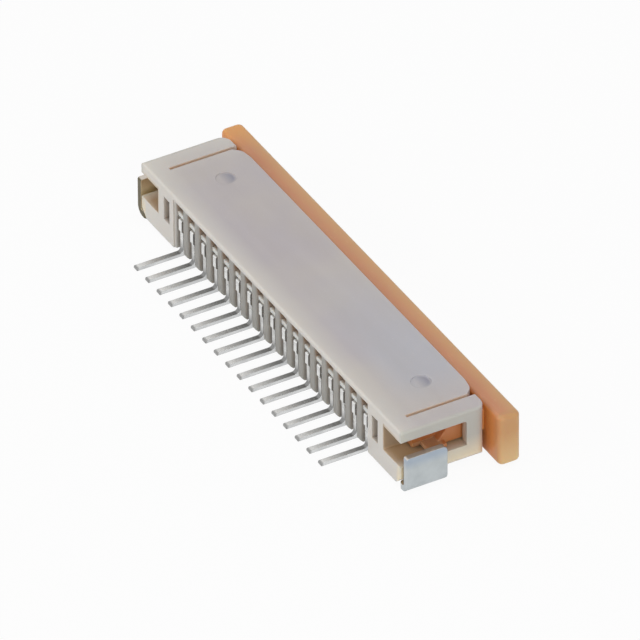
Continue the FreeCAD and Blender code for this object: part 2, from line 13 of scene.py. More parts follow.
import bpy
from mathutils import Matrix, Vector

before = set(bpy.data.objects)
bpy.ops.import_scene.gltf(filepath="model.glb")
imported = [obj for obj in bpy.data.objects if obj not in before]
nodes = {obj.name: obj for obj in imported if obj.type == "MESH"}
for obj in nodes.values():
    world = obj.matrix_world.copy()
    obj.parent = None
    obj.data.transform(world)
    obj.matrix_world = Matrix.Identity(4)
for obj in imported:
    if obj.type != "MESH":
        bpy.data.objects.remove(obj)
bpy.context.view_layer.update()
print("pieces in the model:", len(nodes))

# %% [markdown]
# ## Sizes from the model
#
# Some finishes change with the place on the piece: the slots are browner, for instance.
# Such places could be typed in as numbers, but they would be wrong as soon as the part
# changes. So they start from the reach of the pieces themselves, in metres, and what the
# reach doesn't tell is a short distance from there. X runs along the row of terminals,
# Y from the tails to the lock, and Z up from the board.

# %% Read the sizes that the finishes need
MM = 0.001


def reach(name, axis):
    """The lowest and the highest place of a piece along X, Y or Z."""
    places = [corner.co["XYZ".index(axis)] for corner in nodes[name].data.vertices]
    return min(places), max(places)


terminals = sorted(name for name in nodes if name.startswith("terminal_"))
nails = sorted(name for name in nodes if name.startswith("fitting_nail_"))
TERMINAL_MIDDLES = [sum(reach(name, "X")) / 2 for name in terminals]
PITCH = TERMINAL_MIDDLES[1] - TERMINAL_MIDDLES[0]
ROW_END = TERMINAL_MIDDLES[-1]
TAIL_TIP = reach(terminals[0], "Y")[0]
NAIL_TOP = reach(nails[0], "Z")[1]
HOUSING_END = reach("housing", "X")[1]
HOUSING_FRONT = reach("housing", "Y")[1]
HOUSING_TOP = reach("housing", "Z")[1]
SLIDER_FRONT = reach("slider", "Y")[1]
SLIDER_TOP = reach("slider", "Z")[1]
CEILING = HOUSING_TOP - 0.3 * MM
CHANNEL_FLOOR = 1.15 * MM
print("pitch in millimetres:", round(PITCH / MM, 3))

# %% [markdown]
# ## Colours as they are written
#
# The Standard view shows a colour about as it is written, which suits a product on white.
# Blender's shaders want linear light, while colours are easier to name as they look on a
# screen, from 0 to 255, so one small function turns the second into the first.

# %% Set the view and write colours as on a screen
scene = bpy.context.scene
scene.view_settings.view_transform = "Standard"


def screen(red, green, blue):
    """A colour as seen on a screen, from 0 to 255, as linear light."""
    light = []
    for part in (red, green, blue):
        share = part / 255
        light.append(share / 12.92 if share <= 0.04045 else ((share + 0.055) / 1.055) ** 2.4)
    return (*light, 1.0)


print("half of 255 as light:", round(screen(127.5, 127.5, 127.5)[0], 3))

# %% [markdown]
# ## A short way to write node trees
#
# A finish is a tree of nodes. Written out in full, each node takes several lines, so this
# helper adds one node, fills its inputs and links it to others in a single call. An input
# is given by its name, and it is either a value or another node's output.

# %% Helpers that add one node and start one material
def add_node(tree, kind, inputs=None, **settings):
    """One shader node with its settings, its values and its links."""
    made = tree.nodes.new(kind)
    for name, value in settings.items():
        setattr(made, name, value)
    for name, value in (inputs or {}).items():
        socket = made.inputs[name]
        if isinstance(value, bpy.types.NodeSocket):
            tree.links.new(value, socket)
        else:
            socket.default_value = value
    return made


def new_finish(name):
    """An empty material: its node tree and its Principled shader."""
    finish = bpy.data.materials.new(name)
    finish.use_nodes = True
    return finish, finish.node_tree, finish.node_tree.nodes["Principled BSDF"]


print("node helpers:", add_node.__name__, new_finish.__name__)

# %% [markdown]
# ## Tones laid over one another
#
# A pattern is a number from 0 to 1 that says how much of a tone is laid on, as a mask
# does in painting. A span is a pair of values: the pattern is 0 up to the first, 1 from
# the second on, and a soft ramp between them. Where the second is the smaller one, it
# runs the other way round. A Color Ramp could do that too, but only from 0 to 1, while a
# Map Range takes places in metres as they are.

# %% Spans, places and layers
def spread(tree, value, span, result=(0.0, 1.0)):
    """A value that runs from one result to the other over a span, and is held outside it."""
    made = add_node(tree, "ShaderNodeMapRange", {
        "Value": value, "From Min": span[0], "From Max": span[1],
        "To Min": result[0], "To Max": result[1]})
    return made.outputs["Result"]


def math_chain(tree, operation, first, *others):
    """The first value, joined with each of the others in turn by one kind of Math node."""
    result = first
    for value in others:
        pair = add_node(tree, "ShaderNodeMath", {0: result, 1: value}, operation=operation)
        result = pair.outputs["Value"]
    return result


def where(tree, *limits):
    """A pattern that is 1 only where every (value, span) is past the end of its span."""
    return math_chain(tree, "MULTIPLY", *[spread(tree, value, span) for value, span in limits])


def blend_tones(tree, pattern, low, high):
    """A mix of two tones, led by a pattern."""
    mixed = add_node(tree, "ShaderNodeMix", data_type="RGBA")
    tree.links.new(pattern, mixed.inputs["Factor"])
    for name, tone in (("A", low), ("B", high)):
        socket = [s for s in mixed.inputs if s.name == name and s.type == "RGBA"][0]
        if isinstance(tone, bpy.types.NodeSocket):
            tree.links.new(tone, socket)
        else:
            socket.default_value = tone
    return [s for s in mixed.outputs if s.type == "RGBA"][0]


def layered(tree, base, layers):
    """Tones laid over a base in turn, each as far as its own pattern says."""
    for pattern, tone in layers:
        base = blend_tones(tree, pattern, base, tone)
    return base


print("layer helpers:", spread.__name__, where.__name__, layered.__name__)

# %% [markdown]
# ## Patterns that sit on the piece
#
# All patterns read Object coordinates, so they stay on the piece when the lock slides.
# A Mapping node squeezes them along one axis where the real surface has a direction, such
# as the flow of plastic along a mould or the rolling marks on a metal strip.

# %% Noise with a direction, and places on the piece
def grain(tree, scale, stretch=(1, 1, 1), detail=3.0, roughness=0.5):
    """Noise on the piece itself, stretched along its axes."""
    place = add_node(tree, "ShaderNodeTexCoord")
    turned = add_node(tree, "ShaderNodeMapping", {"Vector": place.outputs["Object"], "Scale": stretch})
    noise = add_node(tree, "ShaderNodeTexNoise", {
        "Vector": turned.outputs["Vector"], "Scale": scale, "Detail": detail, "Roughness": roughness})
    return noise.outputs["Fac"]


def axes(tree, output="Object"):
    """The X, Y and Z of a place on the piece in metres, or of the way that it faces."""
    place = add_node(tree, "ShaderNodeTexCoord")
    parts = add_node(tree, "ShaderNodeSeparateXYZ", {"Vector": place.outputs[output]})
    return parts.outputs["X"], parts.outputs["Y"], parts.outputs["Z"]


def size_of(tree, value):
    """A value without its sign, so that both ends of the row look alike."""
    return add_node(tree, "ShaderNodeMath", {0: value}, operation="ABSOLUTE").outputs["Value"]


print("pattern helpers:", grain.__name__, axes.__name__, size_of.__name__)

# %% [markdown]
# Plastic looks browner in its recesses, where light bounces from wall to wall. Ambient
# Occlusion measures that: it is 1 in the open, and less where walls of the same piece
# stand within the distance. Small bumps and soft edges only change how light falls on the
# surface, so Bump and Bevel nodes do for them, and the mesh stays as it is.

# %% Recesses, soft edges and small bumps
SHELTER_DISTANCE = 1.8 * MM
SHELTER_SPAN = (0.75, 0.15)
RAY_SAMPLES = 6


def sheltered(tree):
    """A limit for where(): the recesses of a piece."""
    made = add_node(tree, "ShaderNodeAmbientOcclusion", {"Distance": SHELTER_DISTANCE},
                    samples=RAY_SAMPLES, only_local=True)
    return made.outputs["AO"], SHELTER_SPAN


def relief(tree, heights, radius):
    """Bumps from a list of (pattern, depth in metres), on edges softened to a small radius."""
    soft = add_node(tree, "ShaderNodeBevel", {"Radius": radius}, samples=RAY_SAMPLES)
    normal = soft.outputs["Normal"]
    for pattern, depth in heights:
        bump = add_node(tree, "ShaderNodeBump", {
            "Height": pattern, "Distance": depth, "Strength": 1.0, "Normal": normal})
        normal = bump.outputs["Normal"]
    return normal


def let_light_in(shader, weight, depth, reach_of_colours):
    """Subsurface scattering, with how far red, green and blue light go at that depth."""
    shader.inputs["Subsurface Weight"].default_value = weight
    shader.inputs["Subsurface Scale"].default_value = depth
    shader.inputs["Subsurface Radius"].default_value = reach_of_colours


print("recesses count walls within", round(SHELTER_DISTANCE / MM, 1), "mm")

# %% [markdown]
# ## The housing's plastic
#
# The housing is moulded from a pale, heat resistant plastic. It isn't one flat colour: it
# drifts between a plainer and a warmer cream, faint flow lines run along it, and close up
# it is finely speckled where the fibres in it reach the surface. Painted light and shade
# are laid over that: a painted cool reflection on a band of the roof near its rear, painted
# light that makes the rear edge and the left end paler, painted shade on the end faces,
# and painted light bounced up from the floor that makes the lower rails yellower. A picture
# wrapped around the piece could show the plastic's own pattern, but patterns need no picture,
# stay sharp from close up and follow a change of size.
# A share below 1 lays a tone on thinly, even where its pattern is full.

# %% Tones over the housing's open faces
HOUSING_TONE = screen(193, 186, 189)
HOUSING_WARM_TONE = screen(200, 193, 189)
# painted cool reflection on a band of the roof
HOUSING_COOL_REFLECTION_TONE = screen(191, 190, 196)
HOUSING_FLOW_TONE = screen(170, 160, 150)
HOUSING_SPECK_TONE = screen(232, 228, 220)
# painted light and shade: paler rear edge and left end, shaded end faces, floor bounce on the rails
HOUSING_EDGE_LIGHT_TONE = screen(220, 216, 208)
HOUSING_END_SHADE_TONE = screen(180, 182, 173)
HOUSING_FLOOR_BOUNCE_TONE = screen(235, 221, 192)
DRIFT_SCALE, FLOW_SCALE, SPECK_SCALE = 260, 900, 9000
DRIFT_SPAN = (0.35, 0.65)
FLOW_SPAN, FLOW_SHARE = (0.30, 0.75), 0.16
SPECK_SPAN, SPECK_SHARE = (0.62, 0.80), 0.22
ROOF_SKIN = (HOUSING_TOP - 0.3 * MM, HOUSING_TOP - 0.1 * MM)
COOL_START = (-1.0 * MM, 6.0 * MM)
COOL_STOP = (10.0 * MM, 8.0 * MM)
COOL_DEPTH = (0.8 * MM, 2.2 * MM)
REAR_EDGE, REAR_SHARE = (0.0, 1.1 * MM), 0.75
LEFT_END, LEFT_SHARE = (-9.5 * MM, -11.0 * MM), 0.6
END_FACE, END_SHARE = (HOUSING_END - 0.2 * MM, HOUSING_END), 0.7
RAIL_WIDTH = (HOUSING_END - 0.4 * MM, HOUSING_END - 0.2 * MM)
RAIL_HEIGHT = (1.6 * MM, 0.4 * MM)


def housing_surface(tree, flow, speckle):
    """The cream plastic with its own drift, flow lines and specks, and painted light and shade by place."""
    across, along, height = axes(tree)
    outward = size_of(tree, across)
    drift = grain(tree, DRIFT_SCALE, detail=2.0)
    cool = where(tree, (across, COOL_START), (across, COOL_STOP), (along, COOL_DEPTH), (height, ROOF_SKIN))
    return layered(tree, HOUSING_TONE, [
        (spread(tree, drift, DRIFT_SPAN), HOUSING_WARM_TONE),
        # painted cool reflection on the roof near its rear
        (cool, HOUSING_COOL_REFLECTION_TONE),
        (spread(tree, flow, FLOW_SPAN, (0.0, FLOW_SHARE)), HOUSING_FLOW_TONE),
        (spread(tree, speckle, SPECK_SPAN, (0.0, SPECK_SHARE)), HOUSING_SPECK_TONE),
        # painted light: the rear edge and the left end are paler
        (spread(tree, along, REAR_EDGE, (REAR_SHARE, 0.0)), HOUSING_EDGE_LIGHT_TONE),
        (spread(tree, across, LEFT_END, (0.0, LEFT_SHARE)), HOUSING_EDGE_LIGHT_TONE),
        # painted shade on the end faces
        (spread(tree, outward, END_FACE, (0.0, END_SHARE)), HOUSING_END_SHADE_TONE),
        # painted light bounced from the floor on the lower rails
        (where(tree, (outward, RAIL_WIDTH), (height, RAIL_HEIGHT)), HOUSING_FLOOR_BOUNCE_TONE)])


print("cream as light:", [round(part, 3) for part in HOUSING_TONE[:3]])

# %% [markdown]
# The comb gets painted shade: grey on the ribs, a lighter painted shade in every recess,
# and a brown painted shade in the slots towards their ceiling, while painted light makes the
# bar across each slot paler. It repeats every millimetre, so there is no need to place each
# slot: the Ping-Pong setting of Math folds the X of a place into its distance from the
# nearest terminal, and one narrow span of that distance stands for all seventeen.

# %% Tones of the comb's ribs, slots and lintels
# painted shade tones for the ribs, the recesses and the slots, and a painted light tone for the lintels
RIB_SHADE_TONE = screen(160, 158, 153)
SHADE_TONE = screen(186, 177, 166)
SLOT_SHADE_TONE = screen(158, 122, 88)
LINTEL_LIGHT_TONE = screen(222, 222, 217)
BELOW_ROOF = (CEILING + 0.12 * MM, CEILING - 0.10 * MM)
COMB_WIDTH = (ROW_END + 0.40 * MM, ROW_END + 0.25 * MM)
RIB_DEPTH = (0.5 * MM, 0.3 * MM)
SLOT_HEIGHT = (2.0 * MM, 2.3 * MM)
LINTEL_DEPTH = (0.3 * MM, 0.2 * MM)
LINTEL_WIDTH = (0.28 * MM, 0.24 * MM)
LINTEL_FOOT = (1.86 * MM, 1.91 * MM)
LINTEL_HEAD = (2.16 * MM, 2.11 * MM)


def comb_tones(tree, base):
    """Painted shade on the ribs, in the recesses and in the slots, and painted light on the lintels."""
    across, along, height = axes(tree)
    in_row = (size_of(tree, across), COMB_WIDTH)
    below_roof = (height, BELOW_ROOF)
    in_recess = sheltered(tree)
    from_terminal = math_chain(tree, "PINGPONG", across, PITCH / 2)
    return layered(tree, base, [
        # painted shade: grey on the ribs
        (where(tree, in_row, below_roof, (along, RIB_DEPTH)), RIB_SHADE_TONE),
        # painted shade in every recess below the roof
        (where(tree, in_recess, below_roof), SHADE_TONE),
        # brown painted shade in the slots towards their ceiling
        (where(tree, in_recess, in_row, below_roof, (height, SLOT_HEIGHT)), SLOT_SHADE_TONE),
        # painted light on the bar across each slot
        (where(tree, in_row, (along, LINTEL_DEPTH), (from_terminal, LINTEL_WIDTH),
               (height, LINTEL_FOOT), (height, LINTEL_HEAD)), LINTEL_LIGHT_TONE)])


print("the comb's tones end", round(COMB_WIDTH[0] / MM, 2), "mm from the middle")

# %% [markdown]
# The slits, the end channels and the mould marks are there twice, once at each end. The
# sign of X is dropped for them, so that one pattern serves both ends. A mould mark is
# round, so its pattern is the distance from its middle: two squares are added, and a
# power of one half takes the root of their sum.

# %% Tones of the slits, the end channels and the mould marks
# painted shade tones: tan in the slits, brown in the channels, bluish in the mould marks
SLIT_SHADE_TONE = screen(238, 212, 188)
CHANNEL_SHADE_TONE = screen(198, 170, 134)
CHANNEL_WALL_SHADE_TONE = screen(170, 150, 126)
MARK_SHADE_TONE = screen(150, 148, 160)
PAST_ROW = (ROW_END + 1.2 * MM, ROW_END + 1.6 * MM)
ROOF_HEIGHT = (CEILING - 0.15 * MM, CEILING)
UNDER_ROOF = (CEILING - 0.05 * MM, CEILING - 0.15 * MM)
CHANNEL_INNER = HOUSING_END - 1.45 * MM
CHANNEL_START = (CHANNEL_INNER - 0.07 * MM, CHANNEL_INNER - 0.01 * MM)
CHANNEL_STOP = (HOUSING_END - 0.04 * MM, HOUSING_END - 0.54 * MM)
CHANNEL_REAR = (-0.5 * MM, 0.3 * MM)
CHANNEL_HEIGHT = (CHANNEL_FLOOR - 0.03 * MM, CHANNEL_FLOOR)
WALL_STOP = (CHANNEL_INNER + 0.11 * MM, CHANNEL_INNER + 0.01 * MM)
WALL_REAR = (-0.5 * MM, 0.1 * MM)
WALL_HEIGHT = (CHANNEL_FLOOR, CHANNEL_FLOOR + 0.15 * MM)
MARK_PLACE = (HOUSING_END - 2.80 * MM, 2.58 * MM)
MARK_RADIUS = 0.45 * MM
MARK_REACH = (MARK_RADIUS, MARK_RADIUS * 0.7)
MARK_FAR_SIDE = (-0.2 * MM, 0.3 * MM)
MARK_HEIGHT = (HOUSING_TOP - 0.2 * MM, HOUSING_TOP - 0.1 * MM)


def end_tones(tree, base):
    """Painted shade: tan in the slits, brown in the end channels, bluish in each round mould mark's hollow.
    """
    across, along, height = axes(tree)
    outward = size_of(tree, across)
    from_mark = math_chain(tree, "SUBTRACT", outward, MARK_PLACE[0])
    past_mark = math_chain(tree, "SUBTRACT", along, MARK_PLACE[1])
    squares = [math_chain(tree, "MULTIPLY", value, value) for value in (from_mark, past_mark)]
    mark_distance = math_chain(tree, "POWER", math_chain(tree, "ADD", *squares), 0.5)
    in_channel = (outward, CHANNEL_START)
    under_roof = (height, UNDER_ROOF)
    return layered(tree, base, [
        # tan painted shade in the slits
        (where(tree, sheltered(tree), (outward, PAST_ROW), (height, ROOF_HEIGHT)), SLIT_SHADE_TONE),
        # brown painted shade inside the end channels
        (where(tree, in_channel, (outward, CHANNEL_STOP), (along, CHANNEL_REAR),
               (height, CHANNEL_HEIGHT), under_roof), CHANNEL_SHADE_TONE),
        # darker painted shade on the channels' inner walls
        (where(tree, in_channel, (outward, WALL_STOP), (along, WALL_REAR),
               (height, WALL_HEIGHT), under_roof), CHANNEL_WALL_SHADE_TONE),
        # bluish painted shade in each mould mark's hollow
        (where(tree, (mark_distance, MARK_REACH), (past_mark, MARK_FAR_SIDE),
               (height, MARK_HEIGHT)), MARK_SHADE_TONE)])


print("mould marks stand", round(MARK_PLACE[0] / MM, 2), "mm from the middle")

# %% [markdown]
# The last step joins the tones with the surface. The plastic lets light in a little, so
# its corners look soft. The flow lines and the specks are felt as well as seen, and so
# the same two patterns give the bumps, a few thousandths of a millimetre deep.

# %% Finish for the housing
GLOSS_SPAN = (0.3, 0.7)


def housing_finish():
    """Pale plastic, a little soft to light, with fine specks and flow lines."""
    finish, tree, shader = new_finish("moulded_cream_plastic")
    flow = grain(tree, FLOW_SCALE, stretch=(0.18, 1, 1), detail=3.0)
    speckle = grain(tree, SPECK_SCALE, detail=2.0, roughness=0.7)
    tone = end_tones(tree, comb_tones(tree, housing_surface(tree, flow, speckle)))
    tree.links.new(tone, shader.inputs["Base Color"])
    let_light_in(shader, weight=0.5, depth=0.4 * MM, reach_of_colours=(1.0, 0.85, 0.7))
    tree.links.new(spread(tree, flow, GLOSS_SPAN, result=(0.42, 0.56)), shader.inputs["Roughness"])
    bumps = [(speckle, 0.004 * MM), (flow, 0.006 * MM)]
    tree.links.new(relief(tree, bumps, radius=0.04 * MM), shader.inputs["Normal"])
    print(finish.name, "has", len(tree.nodes), "nodes")
    return finish


cream_plastic = housing_finish()

# %% [markdown]
# ## The slide lock's plastic
#
# The lock is an amber plastic that lets more light in, so its shaded sides glow a deeper
# orange than its lit ones. Subsurface scattering does that: red light travels furthest
# through the piece. What it can't do alone is laid on by place as painted light and shade:
# painted light on a tan front rim and on a paler foot near the board, a painted golden light
# on the left end and a painted ochre shade on the right end, a painted deep orange glow where
# the bar looks at the housing, painted shade on the arms inside it, and painted light on the
# stop lugs. The surface is smoother than the housing's.

# %% Tones of the slide lock
SLIDER_TONE = screen(214, 153, 114)
SLIDER_CLOUD_TONE = screen(205, 139, 100)
SLIDER_FIBRE_TONE = screen(232, 190, 150)
# painted light and shade tones, from the rim tone to the stop tone
SLIDER_RIM_LIGHT_TONE = screen(210, 171, 116)
SLIDER_RIGHT_SHADE_TONE = screen(196, 150, 98)
SLIDER_FLOOR_BOUNCE_TONE = screen(222, 189, 138)
SLIDER_LEFT_LIGHT_TONE = screen(232, 166, 92)
SLIDER_SHADE_GLOW_TONE = screen(242, 154, 76)
SLIDER_ARM_SHADE_TONE = screen(184, 116, 68)
SLIDER_STOP_LIGHT_TONE = screen(196, 150, 112)
CLOUD_SCALE, FIBRE_SCALE = 420, 7000
CLOUD_SPAN = (0.32, 0.68)
FIBRE_SPAN, FIBRE_SHARE = (0.60, 0.78), 0.20
RIM_DEPTH, RIM_SHARE = (SLIDER_FRONT - 0.7 * MM, SLIDER_FRONT - 0.1 * MM), 0.7
BAR_RIGHT, BAR_RIGHT_SHARE = (HOUSING_END + 0.35 * MM, HOUSING_END + 0.75 * MM), 0.85
BAR_FOOT, BAR_FOOT_SHARE = (1.8 * MM, 0.2 * MM), 0.9
BAR_LEFT, BAR_LEFT_SHARE = (-10.0 * MM, -11.8 * MM), 0.8
DEEP_DEPTH = (HOUSING_FRONT + 0.45 * MM, HOUSING_FRONT + 0.10 * MM)
DEEP_WIDTH = (HOUSING_END + 0.80 * MM, HOUSING_END + 0.20 * MM)
DEEP_HEIGHT = (SLIDER_TOP - 0.05 * MM, SLIDER_TOP - 0.15 * MM)
ARM_DEPTH = (HOUSING_FRONT + 0.15 * MM, HOUSING_FRONT - 0.15 * MM)
STOP_DEPTH = (HOUSING_FRONT - 2.00 * MM, HOUSING_FRONT - 2.10 * MM)
STOP_HEIGHT = (CHANNEL_FLOOR + 0.33 * MM, CHANNEL_FLOOR + 0.28 * MM)
STOP_WIDTH = (HOUSING_END - 0.92 * MM, HOUSING_END - 0.87 * MM)


def slider_tones(tree, cloud, fibre):
    """Clouded amber, with painted light and shade laid on each part of the lock."""
    across, along, height = axes(tree)
    outward = size_of(tree, across)
    return layered(tree, SLIDER_CLOUD_TONE, [
        (spread(tree, cloud, CLOUD_SPAN), SLIDER_TONE),
        (spread(tree, fibre, FIBRE_SPAN, (0.0, FIBRE_SHARE)), SLIDER_FIBRE_TONE),
        # painted light on the front rim
        (spread(tree, along, RIM_DEPTH, (0.0, RIM_SHARE)), SLIDER_RIM_LIGHT_TONE),
        # painted ochre shade on the right end
        (spread(tree, across, BAR_RIGHT, (0.0, BAR_RIGHT_SHARE)), SLIDER_RIGHT_SHADE_TONE),
        # painted light bounced from the floor on the foot
        (spread(tree, height, BAR_FOOT, (0.0, BAR_FOOT_SHARE)), SLIDER_FLOOR_BOUNCE_TONE),
        # painted golden light on the left end
        (spread(tree, across, BAR_LEFT, (0.0, BAR_LEFT_SHARE)), SLIDER_LEFT_LIGHT_TONE),
        # painted orange glow where the bar looks at the housing
        (where(tree, (along, DEEP_DEPTH), (outward, DEEP_WIDTH), (height, DEEP_HEIGHT)), SLIDER_SHADE_GLOW_TONE),
        # painted shade on the arms inside the housing
        (where(tree, (outward, PAST_ROW), (along, ARM_DEPTH)), SLIDER_ARM_SHADE_TONE),
        # painted light on the stop lugs
        (where(tree, (along, STOP_DEPTH), (height, STOP_HEIGHT), (outward, STOP_WIDTH)), SLIDER_STOP_LIGHT_TONE)])


print("amber as light:", [round(part, 3) for part in SLIDER_TONE[:3]])

# %% Finish for the slide lock
def slider_finish():
    """Amber plastic that glows a deeper orange in its shade."""
    finish, tree, shader = new_finish("moulded_amber_plastic")
    cloud = grain(tree, CLOUD_SCALE, stretch=(0.35, 1, 1), detail=3.0)
    fibre = grain(tree, FIBRE_SCALE, stretch=(0.4, 1, 1), detail=2.0, roughness=0.65)
    tree.links.new(slider_tones(tree, cloud, fibre), shader.inputs["Base Color"])
    let_light_in(shader, weight=0.25, depth=0.7 * MM, reach_of_colours=(1.0, 0.42, 0.14))
    tree.links.new(spread(tree, cloud, GLOSS_SPAN, result=(0.34, 0.48)), shader.inputs["Roughness"])
    bumps = [(fibre, 0.003 * MM), (cloud, 0.010 * MM)]
    tree.links.new(relief(tree, bumps, radius=0.05 * MM), shader.inputs["Normal"])
    print(finish.name, "has", len(tree.nodes), "nodes")
    return finish


amber_plastic = slider_finish()

# %% [markdown]
# ## Tin plated strip
#
# Terminals and nails are stamped from copper alloy strip and plated with tin. The strip's
# broad faces keep fine rolling marks and reflect well, while the cut edges are matt. Two
# materials on one piece could show that, but then faces would have to be sorted. The
# Normal output tells which is which by itself: a terminal's broad faces look along X.

# %% Tin plate with rolling marks
ROLLING_SCALE, BLOTCH_SCALE = 5200, 1500
BLOTCH_SPAN, BLOTCH_SHARE = (0.38, 0.72), 0.55
DULL_SPAN = (0.35, 0.70)
PLATE_METALLIC = 0.85


def metal_finish(name, tones, lengthwise, roughness):
    """Tin plate with rolling marks along one axis, its shader and its mottled tone."""
    finish, tree, shader = new_finish(name)
    rolled = grain(tree, ROLLING_SCALE, stretch=lengthwise, detail=3.0, roughness=0.6)
    blotch = grain(tree, BLOTCH_SCALE, detail=3.0)
    tone = blend_tones(tree, spread(tree, blotch, BLOTCH_SPAN, (0.0, BLOTCH_SHARE)), *tones)
    tree.links.new(spread(tree, blotch, DULL_SPAN, roughness), shader.inputs["Roughness"])
    shader.inputs["Metallic"].default_value = PLATE_METALLIC
    bumps = [(rolled, 0.0025 * MM), (blotch, 0.004 * MM)]
    tree.links.new(relief(tree, bumps, radius=0.03 * MM), shader.inputs["Normal"])
    return finish, tree, shader, tone


print("rolling marks are about", round(1 / ROLLING_SCALE / MM, 2), "mm apart")

# %% [markdown]
# A terminal's tail lies in the open and its root in the housing's shade, so the root is
# darker. The tip was cut off last, through the plating, and shows a duller end.

# %% Finish for the terminals
TIN_TONE = screen(214, 215, 215)
TIN_DULL_TONE = screen(184, 186, 187)
TIN_CUT_TONE = screen(234, 234, 232)
TIN_ROOT_TONE = screen(142, 142, 141)
TIN_TIP_TONE = screen(150, 150, 149)
CUT_FACING = (0.9, 0.5)
BROAD_FACING = (0.5, 0.9)
TAIL_DEPTH = (TAIL_TIP, -0.3 * MM)
TAIL_HEIGHT = (0.8 * MM, 0.3 * MM)
TIP_DEPTH = (TAIL_TIP + 0.14 * MM, TAIL_TIP + 0.04 * MM)


def terminal_finish():
    """Bright broad faces that look along X, and matt cut edges."""
    finish, tree, shader, tone = metal_finish(
        "bright_tin_terminal", (TIN_TONE, TIN_DULL_TONE), lengthwise=(1, 0.12, 1), roughness=(0.22, 0.34))
    sideways = size_of(tree, axes(tree, "Normal")[0])
    _, along, height = axes(tree)
    cut = (sideways, CUT_FACING)
    edged = layered(tree, tone, [
        (where(tree, cut), TIN_CUT_TONE),
        (where(tree, cut, (along, TAIL_DEPTH), (height, TAIL_HEIGHT)), TIN_ROOT_TONE),
        (where(tree, (along, TIP_DEPTH)), TIN_TIP_TONE)])
    tree.links.new(edged, shader.inputs["Base Color"])
    metal = spread(tree, sideways, BROAD_FACING, result=(0.40, PLATE_METALLIC))
    tree.links.new(metal, shader.inputs["Metallic"])
    print(finish.name, "has", len(tree.nodes), "nodes")
    return finish


bright_tin = terminal_finish()

# %% [markdown]
# A nail is a satin plate that mirrors what stands around it, and those reflections are
# painted into its colour: a bluish painted reflection near its upper edge, painted light on
# the faces that look up, and the housing's warm colour as a painted reflection where it looks
# at it. X times the X of the normal is negative on the faces that look inwards, at either
# end. The left nail's rear edge, which it turns to the camera, gets a dark painted reflection.

# %% Finish for the nails
NAIL_TONE = screen(188, 194, 196)
NAIL_DULL_TONE = screen(166, 172, 174)
# painted reflection and light tones: upper edge, faces that look up, inner faces, left rear edge
NAIL_UPPER_REFLECTION_TONE = screen(150, 165, 184)
NAIL_TOP_LIGHT_TONE = screen(200, 192, 182)
NAIL_INNER_REFLECTION_TONE = screen(240, 226, 194)
NAIL_RIM_REFLECTION_TONE = screen(98, 90, 66)
UPPER_HEIGHT, UPPER_SHARE = (NAIL_TOP - 0.6 * MM, NAIL_TOP - 0.2 * MM), 0.6
FACING_UP = (0.2, 0.8)
FACING_IN = (-3 * MM, -8 * MM)
FACING_REAR = (-0.3, -0.8)
LEFT_HALF = (0.0, -1 * MM)


def nail_finish():
    """A satin plate with painted reflections: bluish near the top, paler on faces that look up, warm where
    it faces the housing and dark at the left nail's rear edge.
    """
    finish, tree, shader, tone = metal_finish(
        "satin_tin_nail", (NAIL_TONE, NAIL_DULL_TONE), lengthwise=(1, 0.25, 1), roughness=(0.34, 0.46))
    across, _, height = axes(tree)
    facing_across, facing_along, facing_up = axes(tree, "Normal")
    outwards = math_chain(tree, "MULTIPLY", across, facing_across)
    painted_reflections = layered(tree, tone, [
        # bluish painted reflection near the upper edge
        (spread(tree, height, UPPER_HEIGHT, (0.0, UPPER_SHARE)), NAIL_UPPER_REFLECTION_TONE),
        # painted light on the faces that look up
        (spread(tree, facing_up, FACING_UP), NAIL_TOP_LIGHT_TONE),
        # warm painted reflection of the housing on the inner faces
        (spread(tree, outwards, FACING_IN), NAIL_INNER_REFLECTION_TONE),
        # dark painted reflection on the left nail's rear edge
        (where(tree, (across, LEFT_HALF), (facing_along, FACING_REAR)), NAIL_RIM_REFLECTION_TONE)])
    tree.links.new(painted_reflections, shader.inputs["Base Color"])
    print(finish.name, "has", len(tree.nodes), "nodes")
    return finish


satin_tin = nail_finish()

# %% [markdown]
# ## Dressing the pieces
#
# A CAD piece takes a finish through its material slots. The meshes of the pieces stay as
# they are, so what the camera sees is exactly what the solid model holds.

# %% Give every piece its finish
def dress(names, finish):
    """Put one finish on pieces, in place of what they had."""
    for name in names:
        slots = nodes[name].data.materials
        slots.clear()
        slots.append(finish)
    print(finish.name, "on", len(names), "pieces")


dress(["housing"], cream_plastic)
dress(["slider"], amber_plastic)
dress(terminals, bright_tin)
dress(nails, satin_tin)

# %% [markdown]
# ## Floor and surroundings
#
# The connector stands on a pale floor under soft studio light. The background should
# be white without pouring more light on the piece, so the floor and the world answer
# camera rays and mirror rays with plain white, and light the piece at a lower level.
# A share of the floor's own shading is kept, so the soft shadow stays.

# %% White for the eye only
def seen_or_mirrored(tree):
    """1 for rays from the camera and from shiny or clear surfaces, 0 for the rest."""
    ray = add_node(tree, "ShaderNodeLightPath")
    kinds = ("Is Camera Ray", "Is Glossy Ray", "Is Transmission Ray")
    return math_chain(tree, "MAXIMUM", *[ray.outputs[kind] for kind in kinds])


def whiter_for_the_eye(tree, lit, share):
    """Mix a shader with plain white, for the rays that show it to the eye."""
    part = math_chain(tree, "MULTIPLY", seen_or_mirrored(tree), share)
    white = add_node(tree, "ShaderNodeEmission", {"Color": (1, 1, 1, 1), "Strength": 1.0})
    mixed = add_node(tree, "ShaderNodeMixShader", {0: part, 1: lit, 2: white.outputs["Emission"]})
    return mixed.outputs["Shader"]


print("white helpers:", seen_or_mirrored.__name__, whiter_for_the_eye.__name__)

# %% The pale floor
FLOOR_SIDE = 3.0
FLOOR_TONE = (0.86, 0.86, 0.86, 1)
FLOOR_WHITE_SHARE = 0.93

